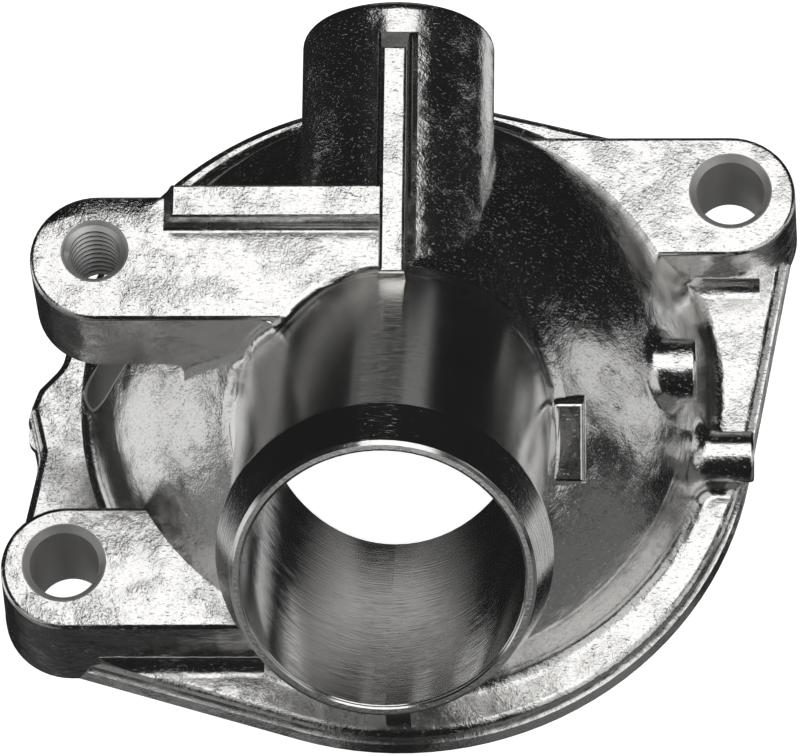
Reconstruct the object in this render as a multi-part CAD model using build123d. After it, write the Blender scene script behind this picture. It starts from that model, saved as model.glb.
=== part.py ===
from build123d import *
import math
import os

# A die-cast aluminium coolant water outlet, in millimetres. The origin is the middle of
# the two bolt holes on the mounting face, +Z points away from the engine and the hose
# neck leans towards -Y.

# Modelling allowances: how near counts as touching, where along an edge that is tried,
# and how far a cut runs past a face
NEAR = 0.002
TRIED_AT = (0.3, 0.7)
PAST = 1.0

# Flange
FLANGE_R = 35.9
FLANGE_Y = -0.6
FLANGE_T = 3.8
RIM_LOW_T = 1.7
RIM_LOW_DRAFT = 9
RIM_STEP = 0.15
RIM_DRAFT = 4
RIM_ROUND = 0.8
LOBE = [(-32.5, 6.07), (-36.5, 1.63), (-37.1, -0.1), (-35.66, -6.35), (-30.0, 0.0)]
LOBE_R = 1.5
LOBE_BLEND = 3.5
NUB = (-36.75, -2.2)
NUB_R = 1.7
NUB_T = 1.2

# Bolt ears
BOLT_CIRCLE = 79.0
BOLT_ANGLE = math.radians(32)
BOLT = (BOLT_CIRCLE / 2 * math.cos(BOLT_ANGLE), BOLT_CIRCLE / 2 * math.sin(BOLT_ANGLE))
BOLT_R = 3.5
BOLT_CHAMFER = 0.65
EAR_FOOT_R = 6.85
EAR_INNER = 8.0
EAR_DRAFT = 1.8
EAR_ROUND = 0.5
EAR_FILLET = 1.6
EAR_FOOT_REACH = 3.0
EAR_SMALL = {"at": (33.5, 20.45), "half": 6.98, "top": 10.9}
EAR_TALL = {"at": (-33.3, -21.4), "half": 6.95, "top": 12.8}

# Dome: round on top, with a drafted wall tangent to it, leaning towards the neck
DOME_Y = -0.8
DOME_R = 30.4
DOME_Z = 4.4
DOME_DRAFT = 16.5
DOME_LEAN = 8.0
DOME_FOOT = 12.0
DOME_FILLET = 1.4
CAVITY_R = 26.4
CAVITY_Z = 2.6
MOUTH_CHAMFER = 0.6

# Hose neck, measured along its axis from the end face; its root widens inside the dome
NECK_ANGLE = 41.0
NECK_END = (0.0, -38.97, 52.0)
NECK_LEAN = math.radians(NECK_ANGLE)
NECK_PLANE = Plane(NECK_END, (1, 0, 0), (0, -math.cos(NECK_LEAN), math.sin(NECK_LEAN)))
BORE_R = 13.5
BORE_LEAD = 0.3
NECK_R = 15.35
BEAD_R = 16.15
LIP_R = 14.6
LIP_CHAMFER = 0.35
BEAD_AT = 5.2
BEAD_LAND = 0.4
NECK_TO = 52.0
ROOT_AT = 38.5
ROOT_DRAFT = 14.0
ROOT_DEPTH = 0.5
BORE_TO = 56.5
NECK_FILLET = 4.0

# Closed boss at the back
BOSS_R = 9.65
BOSS_Z = 28.3
BOSS_END = 29.6
BOSS_ROUND = 1.2
BOSS_FILLET = 1.5

# Bracket arm
ARM_TOP = 39.0
ARM_BOTTOM = 27.8
ARM_AT = (-29.1, 0.75)
ARM_HALF = 6.6
ARM_ROUND = 0.4
TAP = (-29.3, 1.4)
TAP_R = 3.0
TAP_CHAMFER = 0.25
ARM_FILLET = 1.5
ARM_FILLET_TO = -11.7
RIDGE_FILLET = 0.6
RIDGE_ROUND = 0.3
RIDGE = {"left": -21.7, "front": 3.9, "top": 41.7, "slope": 0.9}

# Rib along the boss
RIB_WIDTH = 2.5
RIB_X = 0.05
RIB_TOP = 42.3
RIB_DEPTH = 3.0
RIB_SKIRT = (36.8, 39.0)
RIB_FLARE = 1.5
RIB_FRONT = -2.4
RIB_BACK = 25.0
RIB_SLOPE = 3.0
RIB_DRAFT = 6
RIB_ROUND = 0.35

# Small cast details on the right-hand side and the web below the neck
PEG_HIGH = {"at": (-2.46, 18.5), "r": 3.2, "start": 20.0, "end": 29.9, "fillet": 2.0}
PEG_LOW = {"at": (-6.8, 6.5), "r": 2.6, "start": 27.0, "end": 35.8, "fillet": 2.2}
PEG_ROUND = 0.4
PAD = {"left": 14.1, "right": 18.75, "y": -13.95, "z": 26.8, "long": 8.0, "deep": 4.0, "lean": 34.0}
PAD_ROUND = 0.4
PAD_FILLET = 0.5
WEB_T = 2.5
WEB = [(-20.0, 1.0), (-35.2, 1.0), (-35.0, 4.0), (-33.0, 28.0), (-20.0, 28.0)]


def on_both(shape, body, feature):
    """Whether a vertex, or an edge by two of its points, lies on two touching bodies."""
    points = [shape.center()] if isinstance(shape, Vertex) else [shape @ t for t in TRIED_AT]
    return all(max(body.distance_to(p), feature.distance_to(p)) < NEAR for p in points)


def joined(body, feature, radius, where=lambda centre: True):
    """Body with a feature added and a fillet along the seam between the two."""
    whole = body + feature
    seam = [e for e in whole.edges() if where(e.center()) and on_both(e, body, feature)]
    return fillet(seam, radius)


def drafted(outline, low, high):
    """Solid between one outline at two levels, each given as (height, inset)."""
    sections = [Pos(0, 0, height) * outline(inset) for height, inset in (low, high)]
    return loft(sections, ruled=True)


def slope(angle, height):
    """Sideways shift of a wall that leans by an angle over a height."""
    return height * math.tan(math.radians(angle))


def flange_outline(inset=0.0):
    """Round flange with a tangent ear at each bolt and a lobe on the left."""
    rounds = Pos(0, FLANGE_Y) * Circle(FLANGE_R - inset)
    for side in (1, -1):
        rounds += Pos(side * BOLT[0], side * BOLT[1]) * Circle(EAR_FOOT_R - inset)
    plate = make_hull(rounds.edges())
    lobe = offset(make_face(Polyline(*LOBE, close=True)), LOBE_R - inset)
    outline = plate + lobe
    corners = [v for v in outline.vertices() if on_both(v, plate, lobe)]
    return fillet(corners, LOBE_BLEND + inset)


def flange():
    """Flange plate with a drafted rim and a small step at its parting line."""
    parting = slope(RIM_LOW_DRAFT, RIM_LOW_T)
    low = drafted(flange_outline, (0, 0), (RIM_LOW_T, parting))
    foot = parting + RIM_STEP
    top = foot + slope(RIM_DRAFT, FLANGE_T - RIM_LOW_T)
    high = drafted(flange_outline, (RIM_LOW_T / 2, foot), (FLANGE_T, top))
    high = fillet(high.edges().group_by(Axis.Z)[-1], RIM_ROUND)
    nub = Pos(*NUB) * extrude(Circle(NUB_R), NUB_T)
    return low + high + nub


def ear(spec):
    """A tongue from the dome to one bolt hole."""
    x, y = spec["at"]
    inner = math.copysign(EAR_INNER, x)

    def outline(inset):
        half = spec["half"] - inset
        tongue = Pos((x + inner) / 2, y) * Rectangle(abs(x - inner), 2 * half)
        return tongue + Pos(x, y) * Circle(half)

    body = drafted(outline, (0, 0), (spec["top"], slope(EAR_DRAFT, spec["top"])))
    return fillet(body.edges().group_by(Axis.Z)[-1], EAR_ROUND)


def ear_foot(spec, side):
    """Concave foot along one side of an ear, cut off at the flange rim."""
    x, y = spec["at"]
    wall = spec["half"] - slope(EAR_DRAFT, FLANGE_T)
    toe = wall + EAR_FILLET
    crown = FLANGE_T + EAR_FILLET
    section = make_face(
        [
            Line((wall - PAST, FLANGE_T - PAST), (toe, FLANGE_T - PAST)),
            Line((toe, FLANGE_T - PAST), (toe, FLANGE_T)),
            CenterArc((toe, crown), EAR_FILLET, 180, 90),
            Line((wall, crown), (wall - PAST, crown)),
            Line((wall - PAST, crown), (wall - PAST, FLANGE_T - PAST)),
        ]
    )
    strip = extrude(Plane.YZ * section, math.copysign(abs(x) + EAR_FOOT_REACH, x))
    if side < 0:
        strip = mirror(strip, Plane.XZ)
    return Pos(0, y) * strip & extrude(flange_outline(RIM_ROUND), EAR_SMALL["top"])


def dome():
    """Outer dome over the mounting face, still solid inside."""
    top = CenterArc((0, 0), DOME_R, DOME_DRAFT, 90 - DOME_DRAFT)
    toe = (top @ 0).X + slope(DOME_DRAFT, (top @ 0).Y + DOME_FOOT)
    profile = make_face(
        [
            Line((0, -DOME_FOOT), (toe, -DOME_FOOT)),
            Line((toe, -DOME_FOOT), top @ 0),
            top,
            Line(top @ 1, (0, -DOME_FOOT)),
        ]
    )
    upright = Rot(0, 0, 90) * revolve(Plane.XZ * profile, Axis.Z)
    leaning = Pos(0, DOME_Y, DOME_Z) * Rot(DOME_LEAN, 0, 0) * upright
    return split(leaning, Plane.XY, Keep.TOP)


def turned(points):
    """Solid of revolution about the neck axis from (radius, distance) corners."""
    corners = [(radius, -along) for radius, along in points]
    profile = make_face(Polyline(*corners, close=True))
    return NECK_PLANE.location * Rot(0, 0, -90) * revolve(Plane.XZ * profile, Axis.Z)


def neck():
    """Turned hose neck with its retaining bead."""
    return turned(
        [
            (0, 0),
            (LIP_R - LIP_CHAMFER, 0),
            (LIP_R, LIP_CHAMFER),
            (BEAD_R, BEAD_AT),
            (BEAD_R, BEAD_AT + BEAD_LAND),
            (NECK_R, BEAD_AT + BEAD_LAND + BEAD_R - NECK_R),
            (NECK_R, NECK_TO),
            (0, NECK_TO),
        ]
    )


def root():
    """Cone that widens the neck between the dome and the boss."""
    start = ROOT_AT - ROOT_DEPTH / slope(ROOT_DRAFT, 1)
    return turned(
        [
            (0, start),
            (NECK_R - ROOT_DEPTH, start),
            (NECK_R + slope(ROOT_DRAFT, NECK_TO - ROOT_AT), NECK_TO),
            (0, NECK_TO),
        ]
    )


def boss():
    """Round closed boss that runs straight back from the neck."""
    body = Pos(0, 0, BOSS_Z) * Rot(-90, 0, 0) * extrude(Circle(BOSS_R), BOSS_END)
    return fillet(body.edges().sort_by(Axis.Y)[-1], BOSS_ROUND)


def arm():
    """Flat bracket arm with the raised ridge on its back edge."""
    x, y = ARM_AT
    outline = Pos(x / 2, y) * Rectangle(-x, 2 * ARM_HALF) + Pos(x, y) * Circle(ARM_HALF)
    body = Pos(0, 0, ARM_BOTTOM) * extrude(outline, ARM_TOP - ARM_BOTTOM)
    free = [e for e in body.edges().group_by(Axis.Z)[-1] if e.center().X < -NEAR]
    return fillet(free, ARM_ROUND)


def ridge():
    """Low bar along the back of the arm with a bevelled left end."""
    height = RIDGE["top"] - ARM_BOTTOM
    left = RIDGE["left"]
    side = make_face(
        Polyline(
            (0, ARM_BOTTOM),
            (left - RIDGE["slope"], ARM_BOTTOM),
            (left - RIDGE["slope"], ARM_TOP),
            (left, RIDGE["top"]),
            (0, RIDGE["top"]),
            close=True,
        )
    )
    back = ARM_AT[1] + ARM_HALF
    body = Pos(0, back) * extrude(Plane.XZ * side, back - RIDGE["front"])
    top = [e for e in body.edges().group_by(Axis.Z)[-1] if e.center().X < -NEAR]
    return fillet(top, RIDGE_ROUND)


def rib():
    """Narrow rib along the top of the boss, sloped down at its back end."""
    length = RIB_BACK - RIB_FRONT

    def outline(inset):
        middle = (RIB_FRONT + RIB_BACK) / 2
        return Pos(RIB_X, middle) * Rectangle(RIB_WIDTH - 2 * inset, length - 2 * inset)

    spread = slope(RIB_DRAFT, RIB_TOP - ARM_TOP)
    body = drafted(outline, (ARM_TOP - RIB_DEPTH, -spread), (RIB_TOP, 0))
    back = body.edges().group_by(Axis.Z)[-1].sort_by(Axis.Y)[-1]
    body = chamfer(back, RIB_SLOPE)
    body = fillet(body.edges().group_by(Axis.Z)[-1], RIB_ROUND)
    skirt_low, skirt_high = RIB_SKIRT
    skirt = drafted(outline, (skirt_low, -RIB_FLARE), (skirt_high, -spread / 2))
    return body + skirt


def peg(spec):
    """Short round peg that points to the right."""
    y, z = spec["at"]
    length = spec["end"] - spec["start"]
    body = Pos(spec["start"], y, z) * Rot(0, 90, 0) * extrude(Circle(spec["r"]), length)
    return fillet(body.edges().sort_by(Axis.X)[-1], PEG_ROUND)


def pad():
    """Flat rectangular pad that stands on the dome beside the neck."""
    width = PAD["right"] - PAD["left"]
    plane = Plane(
        ((PAD["left"] + PAD["right"]) / 2, PAD["y"], PAD["z"]),
        x_dir=(1, 0, 0),
        z_dir=(0, -math.sin(math.radians(PAD["lean"])), math.cos(math.radians(PAD["lean"]))),
    )
    body = extrude(plane * Rectangle(width, PAD["long"]), -PAD["deep"])
    top = body.faces().sort_by(lambda f: plane.to_local_coords(f.center()).Z)[-1]
    return fillet(top.edges(), PAD_ROUND)


def web():
    """Upright web between the flange and the underside of the neck."""
    side = make_face(Polyline(*WEB, close=True))
    return Pos(-WEB_T / 2, 0, 0) * extrude(Plane.YZ * side, WEB_T)


def cavity():
    """Round inside of the dome, open through the mounting face."""
    mouth = CAVITY_R + MOUTH_CHAMFER
    profile = make_face(
        [
            Line((0, -PAST), (mouth + PAST, -PAST)),
            Line((mouth + PAST, -PAST), (CAVITY_R, MOUTH_CHAMFER)),
            Line((CAVITY_R, MOUTH_CHAMFER), (CAVITY_R, CAVITY_Z)),
            CenterArc((0, CAVITY_Z), CAVITY_R, 0, 90),
            Line((0, CAVITY_Z + CAVITY_R), (0, -PAST)),
        ]
    )
    return Pos(0, DOME_Y) * revolve(Plane.XZ * profile, Axis.Z)


def bore():
    """Bore of the neck with its small lead at the end face."""
    return turned(
        [
            (0, -PAST),
            (BORE_R + BORE_LEAD + PAST, -PAST),
            (BORE_R, BORE_LEAD),
            (BORE_R, BORE_TO),
            (0, BORE_TO),
        ]
    )


def hole(x, y, top, radius, lead, depth):
    """Round hole down from a face, with a lead at the top."""
    profile = make_face(
        Polyline(
            (0, top + PAST),
            (radius + lead + PAST, top + PAST),
            (radius, top - lead),
            (radius, top - depth),
            (0, top - depth),
            close=True,
        )
    )
    return Pos(x, y) * revolve(Plane.XZ * profile, Axis.Z)


def casting():
    """The whole casting in one solid, with its machined bore and holes."""
    body = joined(dome(), neck(), NECK_FILLET)
    body = joined(body + root(), boss(), BOSS_FILLET)
    body += rib()
    bracket = joined(arm(), ridge(), RIDGE_FILLET, lambda c: c.Y < RIDGE["front"] + PAST)
    body = joined(body, bracket, ARM_FILLET, lambda c: c.X < ARM_FILLET_TO)
    body = joined(body, pad(), PAD_FILLET)
    for spec in (PEG_HIGH, PEG_LOW):
        body = joined(body, peg(spec), spec["fillet"])
    body = joined(body, flange(), DOME_FILLET)
    for spec in (EAR_SMALL, EAR_TALL):
        body += ear(spec)
        for side in (-1, 1):
            body += ear_foot(spec, side)
    body += web()
    body -= cavity()
    body -= bore()
    x, y = BOLT
    body -= hole(x, y, EAR_SMALL["top"], BOLT_R, BOLT_CHAMFER, EAR_SMALL["top"] + PAST)
    body -= hole(-x, -y, EAR_TALL["top"], BOLT_R, BOLT_CHAMFER, EAR_TALL["top"] + PAST)
    body -= hole(*TAP, ARM_TOP, TAP_R, TAP_CHAMFER, ARM_TOP - ARM_BOTTOM + PAST)
    return body


os.makedirs("parts", exist_ok=True)
export_step(casting().solid(), "parts/outlet_casting.step")
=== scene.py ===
import math

import bpy
from mathutils import Matrix, Vector


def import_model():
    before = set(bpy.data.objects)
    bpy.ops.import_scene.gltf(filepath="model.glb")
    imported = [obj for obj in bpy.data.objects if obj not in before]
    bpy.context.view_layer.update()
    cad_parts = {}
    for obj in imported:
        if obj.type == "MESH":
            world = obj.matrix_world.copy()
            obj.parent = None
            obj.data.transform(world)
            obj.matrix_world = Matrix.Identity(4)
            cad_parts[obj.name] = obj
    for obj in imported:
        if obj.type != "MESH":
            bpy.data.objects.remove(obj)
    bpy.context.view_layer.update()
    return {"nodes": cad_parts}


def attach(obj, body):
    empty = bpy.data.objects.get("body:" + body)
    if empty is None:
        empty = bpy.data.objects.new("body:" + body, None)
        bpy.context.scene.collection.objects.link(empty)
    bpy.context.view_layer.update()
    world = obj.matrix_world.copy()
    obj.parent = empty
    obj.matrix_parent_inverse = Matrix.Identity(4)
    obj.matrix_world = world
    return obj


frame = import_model()

MM = 0.001

# The camera: a long lens from above the front, turned a little about its own axis
CAMERA_AZIMUTH = 4.61
CAMERA_ELEVATION = 66.17
CAMERA_ROLL = -4.31
CAMERA_DISTANCE = 821.0
CAMERA_ASIDE = (0.41, -4.45)
LENS = 360.0
SENSOR = 36.0

# The hose neck, as in the part
NECK_END = Vector((0.0, -38.97, 52.0))
NECK_LEAN = math.radians(41.0)
NECK_AXIS = Vector((0.0, -math.cos(NECK_LEAN), math.sin(NECK_LEAN)))
BORE_R = 13.5

# The holes, as in the part
BOLT_HOLE = Vector((33.5, 20.93))
BOLT_LEAD_R = 4.15
TAP_HOLE = Vector((-29.3, 1.4))
TAP_R = 3.0
TAP_LEAD_R = 3.25

# The arm's round end, and the leaning dome with its cavity
ARM_AT = Vector((-29.1, 0.75))
ARM_HALF = 6.6
DOME_CENTRE = Vector((0.0, -0.8, 4.4))
DOME_LEAN = math.radians(8.0)
DOME_AXIS = Vector((0.0, -math.sin(DOME_LEAN), math.cos(DOME_LEAN)))
CAVITY_CENTRE = Vector((0.0, -0.8, 2.6))

# Borders of the finish's zones: where the change starts and where it ends, as distances
# from an axis, a centre or a face, and as parts of a straight-on slope for FACING
BORE_BORDER = (13.55, 13.65)
BEAD_BORDER = (16.25, 16.4)
TURNED_BORDER = (35.9, 36.5)
BORED_BORDER = (56.0, 57.0)
HOLE_BORDER = (0.02, 0.1)
FACE_BORDER = (0.01, 0.03)
LIP_FACING = (0.8, 0.9)
LIP_DEPTH = (0.6, 0.8)
CAVITY_BORDER = (26.7, 27.2)
WALL_INNER = (28.0, 28.5)
WALL_OUTER = (32.6, 33.0)
WALL_TOP = (8.3, 8.9)
WALL_FACING = (0.5, 0.7)
TOP_FACING = (0.9, 0.97)

# The arm's worn corner and rounded rim: their borders, widths and how far the rim falls
WORN_BELOW = (37.5, 38.0)
WORN_ABOVE = (39.1, 39.3)
WORN_SIDE = (-25.0, -22.5)
WORN_BACK = (3.4, 6.0)
WORN_WIDTH = 2.0
RIM_BELOW = (38.4, 38.6)
RIM_ABOVE = (39.05, 39.1)
RIM_WIDTH = 0.3
RIM_FALL = 0.26

# Layers of relief: noise scale per millimetre, detail, roughness, height in millimetres
WAVES = (0.3, 1.0, 0.5, 0.08)
PEEL = (1.9, 1.0, 0.6, 0.034)
GRAIN = (4.8, 2.0, 0.65, 0.03)
LIP_SPECKLE = (3.2, 2.0, 0.65, 0.36)
MACHINED = (1.0, 2.0, 0.6)
TURNED = (1.0, 2.0, 0.65)
LIP_SLOPE = 0.52

# Where the skin is coarse: patches, their border, the least coarseness and what they add
PATCHES = (0.24, 2.0, 0.6)
PATCH_BORDER = (0.4, 0.68)
COARSE_LEAST = 0.35
COARSE_PATCH = 1.4
COARSE_WORN = 2.0
WALL_CALM = 0.5
CAVITY_CALM = 0.85

# Strokes drawn out along one slanting direction: scale each way, seed, border
STROKE_TURN = (0.4, 0.2, 0.5)
STROKES = (1.0, 2.0, 0.6)
FLECKS = ((1.6, 5.2, 4.0), (3.0, 1.0, 7.0))
FLECK_BORDER = (0.64, 0.72)
FLECK_HEIGHT = 0.045
MOTTLE = ((2.2, 4.4, 3.2), (8.0, 2.0, 4.0))
SPECK_BORDER = (0.3, 0.42)

# Tool marks: how close they lie each way, and how deep they are
TURNING_PITCH = (5.0, 2.4)
TURNING_DEPTH = 0.014
DRAGGED_AT = 0.3
DRAGGED_BORDER = (1.5, 2.6)
DRAGGED_DEPTH = 0.04
NICK_DEPTH = 0.005
BORING_PITCH = (4.0, 2.6)
BORING_SHIFT = 9.0
BORING_DEPTH = 0.02
DRILLING_PITCH = (0.7, 0.7, 3.5)
DRILLING_DEPTH = 0.015
MILLING_PITCH = (0.25, 3.2)
MILLING_DEPTH = 0.02

# Colours of the metal, how dark its specks are, the painted shade in the tapped hole, and how
# rough each zone is
DULL_SKIN = (0.88, 0.872, 0.858, 1.0)
BRIGHT_SKIN = (0.935, 0.927, 0.908, 1.0)
SPECK_AND_PAINTED_SHADE = (0.26, 0.257, 0.252, 1.0)
CLOUDS = (0.16, 3.0, 0.6)
SPECKS_ON_WALLS = 0.22
SPECKS_ON_TOPS = 0.14
SPECKS_ON_LIP = 0.4
MOTTLED = 0.15
# Painted shade on the wall of the tapped hole, and the height where it ends
TAPPED_HOLE_PAINTED_SHADE = 0.8
THREAD_WALL_TOP = (38.2, 38.4)
SMOOTHEST = 0.12
CLOUD_ROUGH = 0.1
LIP_ROUGH = 0.38
HOLE_ROUGH = 0.4
BORE_SMOOTH = 0.05

# The thread in the arm: a 60 degree profile, one millimetre pitch
THREAD_PITCH = 1.0
THREAD_CREST_R = 2.459
THREAD_CREST = 0.125
THREAD_ROOT = 0.4375
THREAD_SUNK = 0.02
THREAD_FROM = 27.95
THREAD_TURNS = 10.6
THREAD_FADE = 0.1
THREAD_STEPS = 48
THREAD_WEAR = (3.0, 2.0, 0.6)
# Painted light on the thread: flanks facing up get a painted highlight colour, the rest a
# painted shade colour
THREAD_PAINTED_LIGHT_FACING = (0.2, 0.5)
THREAD_PAINTED_SHADE = (0.2, 0.198, 0.195, 1.0)
THREAD_PAINTED_HIGHLIGHT = (0.96, 0.955, 0.94, 1.0)
THREAD_ROUGH = (0.36, 0.2)

# The floor's half size, colour and own light
FLOOR_HALF = 1500.0
FLOOR_COLOUR = (0.9, 0.9, 0.9, 1.0)
FLOOR_GLOW = 0.95
WHITE = (1.0, 1.0, 1.0, 1.0)

# The light panels: name, direction, reach either way towards higher azimuth, reach down
# and up, all in degrees, then brightness
PART_MIDDLE = Vector((0.0, 0.0, 20.0))
CARD_DISTANCE = 600.0
ROOM_LIGHT = 0.012
CARDS = (
    ("overhead_softbox", 90.0, 90.0, (-26.0, 14.0), (-36.0, 20.0), 1.2),
    ("right_card", 0.0, 0.0, (-4.0, 16.0), (-28.0, 24.0), 0.6),
    ("right_low_card", 33.0, -42.0, (-11.0, 12.0), (-13.0, 13.0), 0.66),
    ("left_card", 184.0, -5.0, (-15.0, 12.0), (-7.0, 24.0), 0.73),
    ("left_low_card", 171.0, -28.0, (-10.0, 16.0), (-18.0, 16.0), 0.76),
    ("front_table", 318.0, -30.0, (-28.0, 28.0), (-30.0, 28.0), 0.11),
    ("front_left_table", 225.0, -12.0, (-26.0, 24.0), (-40.0, 26.0), 0.2),
    ("front_reflector", 315.0, 36.0, (-13.0, 32.0), (-26.0, 28.0), 0.62),
    ("front_left_reflector", 228.0, 34.0, (-22.0, 8.0), (-16.0, 30.0), 0.45),
    ("table_bounce", 262.0, -70.0, (-50.0, 50.0), (-18.0, 10.0), 0.03),
    ("back_strip", 90.0, -15.0, (-12.0, 12.0), (-11.0, 11.0), 0.16),
)

# Panels under the floor below the open chamber, seen in the bore: centre, size, brightness
GLOWS = (
    ("glow_near", (0.0, 9.0, -20.0), (11.0, 20.0), 0.44),
    ("glow_far_left", (-5.0, 23.0, -20.0), (4.0, 8.0), 0.4),
    ("glow_far_right", (5.0, 23.0, -20.0), (4.0, 8.0), 0.4),
)


class Signal:
    """One output of a shader node, usable in ordinary arithmetic."""

    def __init__(self, graph, socket):
        self.graph = graph
        self.socket = socket

    def maths(self, operation, *others):
        return self.graph.node("ShaderNodeMath", {"operation": operation}, [self, *others])

    def __add__(self, other):
        return self.maths("ADD", other)

    def __radd__(self, other):
        return self.maths("ADD", other)

    def __sub__(self, other):
        return self.maths("SUBTRACT", other)

    def __rsub__(self, other):
        return self.graph.node("ShaderNodeMath", {"operation": "SUBTRACT"}, [other, self])

    def __mul__(self, other):
        return self.maths("MULTIPLY", other)

    def __rmul__(self, other):
        return self.maths("MULTIPLY", other)

    def __truediv__(self, other):
        return self.maths("DIVIDE", other)

    def __neg__(self):
        return self.maths("MULTIPLY", -1.0)

    def __abs__(self):
        return self.maths("ABSOLUTE")

    def __or__(self, other):
        return self.maths("MAXIMUM", other)


class Graph:
    """The node tree of one material, with one method that makes any node."""

    def __init__(self, material):
        material.use_nodes = True
        self.tree = material.node_tree
        self.tree.nodes.clear()

    def node(self, kind, settings=None, inputs=(), output=0):
        made = self.tree.nodes.new(kind)
        for name, value in (settings or {}).items():
            setattr(made, name, value)
        pairs = inputs.items() if isinstance(inputs, dict) else enumerate(inputs)
        for key, value in pairs:
            if isinstance(value, Signal):
                self.tree.links.new(value.socket, made.inputs[key])
            else:
                made.inputs[key].default_value = value
        return Signal(self, made.outputs[output]) if made.outputs else None

    def vector(self, operation, *values, output=0):
        return self.node("ShaderNodeVectorMath", {"operation": operation}, list(values), output)

    def dot(self, a, b):
        return self.vector("DOT_PRODUCT", a, b, output="Value")

    def length(self, a):
        return self.vector("LENGTH", a, output="Value")

    def scaled(self, a, by):
        return self.node("ShaderNodeVectorMath", {"operation": "SCALE"}, {0: a, "Scale": by})

    def joined(self, x, y, z):
        return self.node("ShaderNodeCombineXYZ", {}, [x, y, z])

    def parts(self, a):
        split = self.node("ShaderNodeSeparateXYZ", {}, [a])
        return [Signal(self, socket) for socket in split.socket.node.outputs]

    def step(self, value, start, end):
        """0 below start and 1 above end, smooth between them."""
        inputs = {"Value": value, "From Min": start, "From Max": end}
        return self.node("ShaderNodeMapRange", {"interpolation_type": "SMOOTHSTEP"}, inputs)

    def noise(self, where, scale, detail, roughness):
        inputs = {"Vector": where, "Scale": scale, "Detail": detail, "Roughness": roughness}
        return self.node("ShaderNodeTexNoise", {}, inputs)

    def layer(self, where, recipe):
        """Noise from one of the recipes that end with a height."""
        scale, detail, roughness, height = recipe
        return self.noise(where, scale, detail, roughness) * height

    def blend(self, factor, low, high):
        """One colour where the factor is 0, the other where it is 1."""
        inputs = {0: factor, 6: low, 7: high}
        return self.node("ShaderNodeMix", {"data_type": "RGBA"}, inputs, output=2)


class Place:
    """Where a point of the casting lies, in millimetres, and which zone it is in."""

    def __init__(self, g):
        self.g = g
        self.where = g.scaled(g.node("ShaderNodeTexCoord", output="Object"), 1 / MM)
        self.x, self.y, self.z = g.parts(self.where)
        facing = g.node("ShaderNodeNewGeometry", output="Normal")
        self.upward = g.parts(facing)[2]
        self.endward = g.dot(facing, NECK_AXIS)

        from_end = g.vector("SUBTRACT", self.where, NECK_END)
        self.along = -g.dot(from_end, NECK_AXIS)
        off_axis = g.vector("ADD", from_end, g.scaled(NECK_AXIS, self.along))
        self.radius = g.length(off_axis)
        crest = Vector((0.0, math.sin(NECK_LEAN), math.cos(NECK_LEAN)))
        self.around = self.x.maths("ARCTAN2", g.dot(from_end, crest))

        from_dome = g.vector("SUBTRACT", self.where, DOME_CENTRE)
        self.dome_height = g.dot(from_dome, DOME_AXIS)
        off_dome = g.vector("SUBTRACT", from_dome, g.scaled(DOME_AXIS, self.dome_height))
        self.dome_radius = g.length(off_dome)

    def hole(self, centre, radius):
        """1 inside a round hole or on its lead."""
        g = self.g
        off = g.joined(self.x - centre.x, self.y - centre.y, 0.0)
        start, end = HOLE_BORDER
        return 1.0 - g.step(g.length(off), radius + start, radius + end)

    def turned(self):
        """1 on the turned outside of the neck and on its end face."""
        g = self.g
        shell = g.step(self.radius, *BORE_BORDER) * (1.0 - g.step(self.radius, *BEAD_BORDER))
        return shell * (1.0 - g.step(self.along, *TURNED_BORDER))

    def bored(self):
        """1 on the wall of the bore."""
        g = self.g
        inside = 1.0 - g.step(self.radius, *BORE_BORDER)
        return inside * (1.0 - g.step(self.along, *BORED_BORDER))

    def drilled(self):
        """1 in the two bolt holes and in the tapped hole."""
        near = self.hole(BOLT_HOLE, BOLT_LEAD_R)
        far = self.hole(-BOLT_HOLE, BOLT_LEAD_R)
        return near | far | self.hole(TAP_HOLE, TAP_LEAD_R)

    def milled(self):
        """1 on the mounting face."""
        return 1.0 - self.g.step(self.z, *FACE_BORDER)

    def lip(self):
        """1 on the end face of the neck."""
        g = self.g
        return g.step(self.endward, *LIP_FACING) * (1.0 - g.step(self.along, *LIP_DEPTH))

    def inner(self):
        """1 on the inside of the dome."""
        g = self.g
        off = g.length(g.vector("SUBTRACT", self.where, CAVITY_CENTRE))
        return 1.0 - g.step(off, *CAVITY_BORDER)

    def arm_worn(self):
        """1 on the sunk rough corner at the arm's back left."""
        g = self.g
        level = g.step(self.z, *WORN_BELOW) * (1.0 - g.step(self.z, *WORN_ABOVE))
        left = 1.0 - g.step(self.x, *WORN_SIDE)
        return level * left * g.step(self.y, *WORN_BACK)

    def wall(self):
        """1 on the smooth drafted wall round the dome."""
        g = self.g
        ring = g.step(self.dome_radius, *WALL_INNER)
        ring = ring * (1.0 - g.step(self.dome_radius, *WALL_OUTER))
        below = 1.0 - g.step(self.dome_height, *WALL_TOP)
        return ring * below * (1.0 - g.step(self.upward, *WALL_FACING))


def strokes(g, place, scale, seed):
    """Fine noise drawn out along one slanting direction, as the casting skin shows."""
    turn = {"Vector": place.where, "Location": seed, "Rotation": STROKE_TURN, "Scale": scale}
    slanted = g.node("ShaderNodeMapping", {}, turn)
    return g.noise(slanted, *STROKES)


def flecks(g, place):
    """1 on short scattered ridges of the casting skin."""
    return g.step(strokes(g, place, *FLECKS), *FLECK_BORDER)


def arm_round(g, place):
    """Height of the arm's rounded rim, widest at its back left corner."""
    past = (place.x - ARM_AT.x).maths("MINIMUM", 0.0)
    inside = ARM_HALF - g.length(g.joined(past, place.y - ARM_AT.y, 0.0))
    width = RIM_WIDTH + place.arm_worn() * WORN_WIDTH
    rim = (1.0 - inside / width).maths("MAXIMUM", 0.0)
    top = g.step(place.z, *RIM_BELOW) * (1.0 - g.step(place.z, *RIM_ABOVE))
    return rim * rim * width * top * -RIM_FALL


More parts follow.
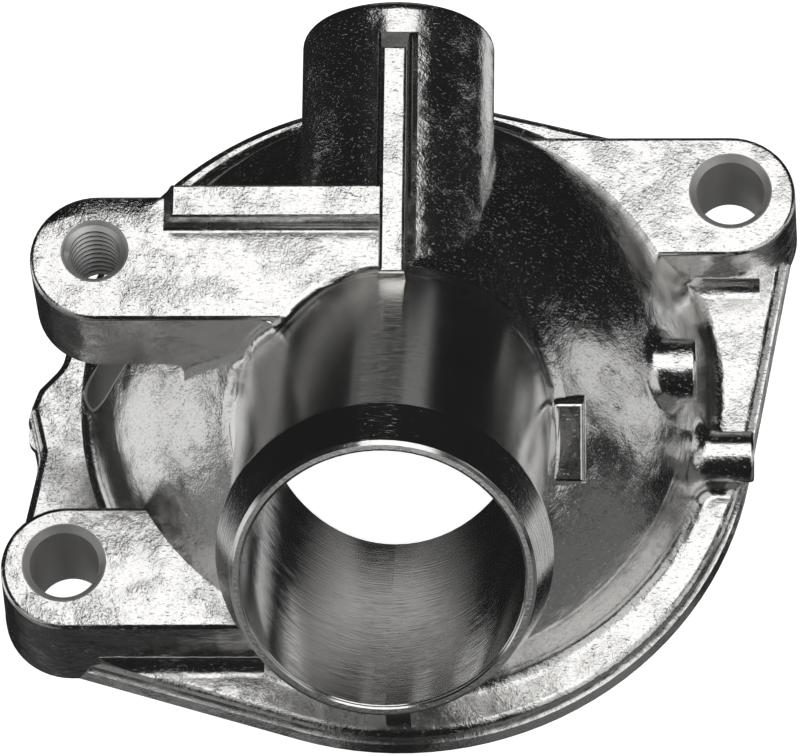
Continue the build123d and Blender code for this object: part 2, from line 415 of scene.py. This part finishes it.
def cast_relief(g, place):
    """Height of the cast skin: slow waves, orange peel, fine grain and flecks."""
    where = place.where
    waves = g.layer(where, WAVES)
    peel = g.layer(where, PEEL)
    grain = g.layer(where, GRAIN)
    patches = g.step(g.noise(where, *PATCHES), *PATCH_BORDER)
    coarse = patches * COARSE_PATCH + COARSE_LEAST + place.arm_worn() * COARSE_WORN
    calm = 1.0 - (place.wall() * WALL_CALM | place.inner() * CAVITY_CALM)
    fine = (peel + grain + flecks(g, place) * FLECK_HEIGHT) * coarse * calm
    return waves * calm + fine + arm_round(g, place)


def turned_relief(g, place):
    """Height of the turning marks on the neck."""
    along, around = TURNING_PITCH
    marks = g.joined(place.along * along, place.around * around, 0.0)
    nicks = flecks(g, place)
    dragged = 1.0 - g.step(abs(place.x + DRAGGED_AT), *DRAGGED_BORDER)
    depth = (TURNING_DEPTH + dragged * DRAGGED_DEPTH) * (1.0 - place.lip())
    return g.noise(marks, *TURNED) * depth + nicks * NICK_DEPTH


def lip_relief(g, place):
    """Bevelled and worn end face of the neck."""
    speckle = g.layer(place.where, LIP_SPECKLE)
    return (speckle - (place.radius - BORE_R) * LIP_SLOPE) * place.lip()


def bored_relief(g, place):
    """Height of the tool marks in the bore."""
    along, around = BORING_PITCH
    marks = g.joined(place.along * along, place.around * around, BORING_SHIFT)
    return g.noise(marks, *MACHINED) * BORING_DEPTH


def drilled_relief(g, place):
    """Height of the tool marks in the holes."""
    x, y, z = DRILLING_PITCH
    marks = g.joined(place.x * x, place.y * y, place.z * z)
    return g.noise(marks, *MACHINED) * DRILLING_DEPTH


def milled_relief(g, place):
    """Height of the milling marks on the mounting face."""
    x, y = MILLING_PITCH
    marks = g.joined(place.x * x, place.y * y, 0.0)
    return g.noise(marks, *MACHINED) * MILLING_DEPTH


def cast_aluminium():
    """Bright die-cast aluminium, machined on the neck, in the bore and in the holes, with
    painted shade on the wall of the tapped hole.
    """
    material = bpy.data.materials.new("cast_aluminium_finish")
    g = Graph(material)
    place = Place(g)
    zones = (
        (place.turned(), turned_relief(g, place)),
        (place.bored(), bored_relief(g, place)),
        (place.drilled(), drilled_relief(g, place)),
        (place.milled(), milled_relief(g, place)),
    )
    machined = zones[0][0] | zones[1][0] | zones[2][0] | zones[3][0]
    height = cast_relief(g, place) * (1.0 - machined) + lip_relief(g, place)
    for zone, relief in zones:
        height = height + relief * zone
    bump = g.node("ShaderNodeBump", {}, {"Strength": 1.0, "Distance": MM, "Height": height})

    cloud = g.noise(place.where, *CLOUDS)
    mottle = strokes(g, place, *MOTTLE)
    specks = 1.0 - g.step(mottle, *SPECK_BORDER)
    on_top = g.step(place.upward, *TOP_FACING) * SPECKS_ON_TOPS
    cast_speck = (SPECKS_ON_WALLS + on_top) * (1.0 - machined)
    # Painted shade: the tapped hole's wall below the thread's top is darkened as if in shadow,
    # in the speck colour
    tapped_hole_painted_shade = place.hole(TAP_HOLE, TAP_R) * (1.0 - g.step(place.z, *THREAD_WALL_TOP))
    dark = specks * (cast_speck + place.lip() * SPECKS_ON_LIP) + (1.0 - mottle) * MOTTLED
    dark = dark + tapped_hole_painted_shade * TAPPED_HOLE_PAINTED_SHADE
    skin = g.blend(cloud, DULL_SKIN, BRIGHT_SKIN)
    colour = g.blend(dark, skin, SPECK_AND_PAINTED_SHADE)
    roughness = SMOOTHEST + cloud * CLOUD_ROUGH
    roughness = roughness + place.lip() * LIP_ROUGH + place.drilled() * HOLE_ROUGH
    roughness = roughness - (place.inner() | place.bored()) * BORE_SMOOTH
    shader = g.node(
        "ShaderNodeBsdfPrincipled",
        {},
        {"Base Color": colour, "Metallic": 1.0, "Roughness": roughness, "Normal": bump},
    )
    g.node("ShaderNodeOutputMaterial", {}, {"Surface": shader})
    return material


def dress_casting():
    casting = frame["nodes"]["outlet_casting"]
    casting.data.materials.clear()
    casting.data.materials.append(cast_aluminium())


def mesh_object(name, points, faces):
    mesh = bpy.data.meshes.new(name)
    mesh.from_pydata([Vector(p) * MM for p in points], [], faces)
    mesh.update()
    made = bpy.data.objects.new(name, mesh)
    bpy.context.scene.collection.objects.link(made)
    return made


def thread_painted_light():
    """Cut thread: bright with a painted highlight on its upper flank, dull and dark with
    painted shade on its crest and below.
    """
    material = bpy.data.materials.new("cut_thread_painted_light")
    g = Graph(material)
    place = Place(g)
    worn = g.noise(place.where, *THREAD_WEAR)
    # Painted highlight and painted shade: the colour is picked by how far each face points up
    colour = g.blend(g.step(place.upward, *THREAD_PAINTED_LIGHT_FACING), THREAD_PAINTED_SHADE, THREAD_PAINTED_HIGHLIGHT)
    smoothest, wear = THREAD_ROUGH
    inputs = {"Base Color": colour, "Metallic": 1.0, "Roughness": smoothest + worn * wear}
    shader = g.node("ShaderNodeBsdfPrincipled", {}, inputs)
    g.node("ShaderNodeOutputMaterial", {}, {"Surface": shader})
    return material


def thread():
    """The screw thread in the arm's hole, as one ridge that winds up its wall."""
    profile = (
        (TAP_R + THREAD_SUNK, -THREAD_ROOT),
        (THREAD_CREST_R, -THREAD_CREST),
        (THREAD_CREST_R, THREAD_CREST),
        (TAP_R + THREAD_SUNK, THREAD_ROOT),
    )
    points = []
    count = round(THREAD_TURNS * THREAD_STEPS) + 1
    for step in range(count):
        turn = step / THREAD_STEPS
        swell = min(1.0, turn / THREAD_FADE, (THREAD_TURNS - turn) / THREAD_FADE)
        angle = math.tau * turn
        for radius, offset in profile:
            radius = TAP_R + THREAD_SUNK + (radius - TAP_R - THREAD_SUNK) * swell
            x = TAP_HOLE.x + radius * math.cos(angle)
            y = TAP_HOLE.y + radius * math.sin(angle)
            points.append((x, y, THREAD_FROM + turn * THREAD_PITCH + offset * swell))
    size = len(profile)
    faces = []
    for low in range(0, (count - 1) * size, size):
        high = low + size
        for i in range(size):
            after = (i + 1) % size
            faces.append((low + i, high + i, high + after, low + after))
    made = mesh_object("thread", points, faces)
    made.data.materials.append(thread_painted_light())
    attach(made, "root")


def floor():
    """Plain pale floor that does not show in the metal."""
    half = FLOOR_HALF
    corners = [(-half, -half, 0), (half, -half, 0), (half, half, 0), (-half, half, 0)]
    made = mesh_object("floor", corners, [(0, 1, 2, 3)])
    material = bpy.data.materials.new("floor_white")
    g = Graph(material)
    paint = g.node("ShaderNodeBsdfDiffuse", {}, {"Color": FLOOR_COLOUR})
    glow = g.node("ShaderNodeEmission", {}, {"Color": WHITE, "Strength": FLOOR_GLOW})
    both = g.node("ShaderNodeAddShader", {}, [paint, glow])
    g.node("ShaderNodeOutputMaterial", {}, {"Surface": both})
    made.data.materials.append(material)
    made.visible_glossy = False
    made.visible_shadow = False


def panel(name, width, height, strength):
    """Area light of even brightness that the camera doesn't see."""
    data = bpy.data.lights.new(name, "AREA")
    data.shape = "RECTANGLE"
    data.size = width * MM
    data.size_y = height * MM
    area = width * height * MM**2
    data.energy = strength * math.pi * area
    made = bpy.data.objects.new(name, data)
    bpy.context.scene.collection.objects.link(made)
    made.visible_camera = False
    return made


def card(name, azimuth, elevation, sideways, lift, strength):
    """Rectangular panel seen from the part in one direction, its reach given in degrees."""
    azimuth, elevation = math.radians(azimuth), math.radians(elevation)
    direction = Vector(
        (
            math.cos(azimuth) * math.cos(elevation),
            math.sin(azimuth) * math.cos(elevation),
            math.sin(elevation),
        )
    )
    aside = Vector((-math.sin(azimuth), math.cos(azimuth), 0.0))
    upward = direction.cross(aside)
    left, right = (CARD_DISTANCE * math.tan(math.radians(a)) for a in sideways)
    low, high = (CARD_DISTANCE * math.tan(math.radians(a)) for a in lift)
    made = panel(name, right - left, high - low, strength)
    middle = PART_MIDDLE + direction * CARD_DISTANCE
    middle += aside * (left + right) / 2 + upward * (low + high) / 2
    turn = Matrix((aside, upward, direction)).transposed().to_4x4()
    made.matrix_world = Matrix.Translation(middle * MM) @ turn


def lights():
    for name, azimuth, elevation, sideways, lift, strength in CARDS:
        card(name, azimuth, elevation, sideways, lift, strength)
    for name, middle, (width, depth), strength in GLOWS:
        glow = panel(name, width, depth, strength)
        glow.location = Vector(middle) * MM
        glow.rotation_euler = (math.pi, 0.0, 0.0)


def world():
    made = bpy.data.worlds.new("studio")
    bpy.context.scene.world = made
    made.use_nodes = True
    background = made.node_tree.nodes["Background"]
    background.inputs["Color"].default_value = WHITE
    background.inputs["Strength"].default_value = ROOM_LIGHT


def camera():
    azimuth, elevation = math.radians(CAMERA_AZIMUTH), math.radians(CAMERA_ELEVATION)
    roll = math.radians(CAMERA_ROLL)
    back = Vector(
        (
            math.sin(azimuth) * math.cos(elevation),
            -math.cos(azimuth) * math.cos(elevation),
            math.sin(elevation),
        )
    )
    level = Vector((math.cos(azimuth), math.sin(azimuth), 0.0))
    upright = back.cross(level)
    right = math.cos(roll) * level + math.sin(roll) * upright
    up = -math.sin(roll) * level + math.cos(roll) * upright
    place = (back * CAMERA_DISTANCE - right * CAMERA_ASIDE[0] - up * CAMERA_ASIDE[1]) * MM
    data = bpy.data.cameras.new("camera")
    data.lens = LENS
    data.sensor_width = SENSOR
    data.sensor_fit = "HORIZONTAL"
    data.clip_start = 0.01
    made = bpy.data.objects.new("camera", data)
    bpy.context.scene.collection.objects.link(made)
    turn = Matrix((right, up, back)).transposed().to_4x4()
    made.matrix_world = Matrix.Translation(place) @ turn
    bpy.context.scene.camera = made
    bpy.context.scene.view_settings.view_transform = "Standard"


camera()
world()
lights()
floor()
dress_casting()
thread()
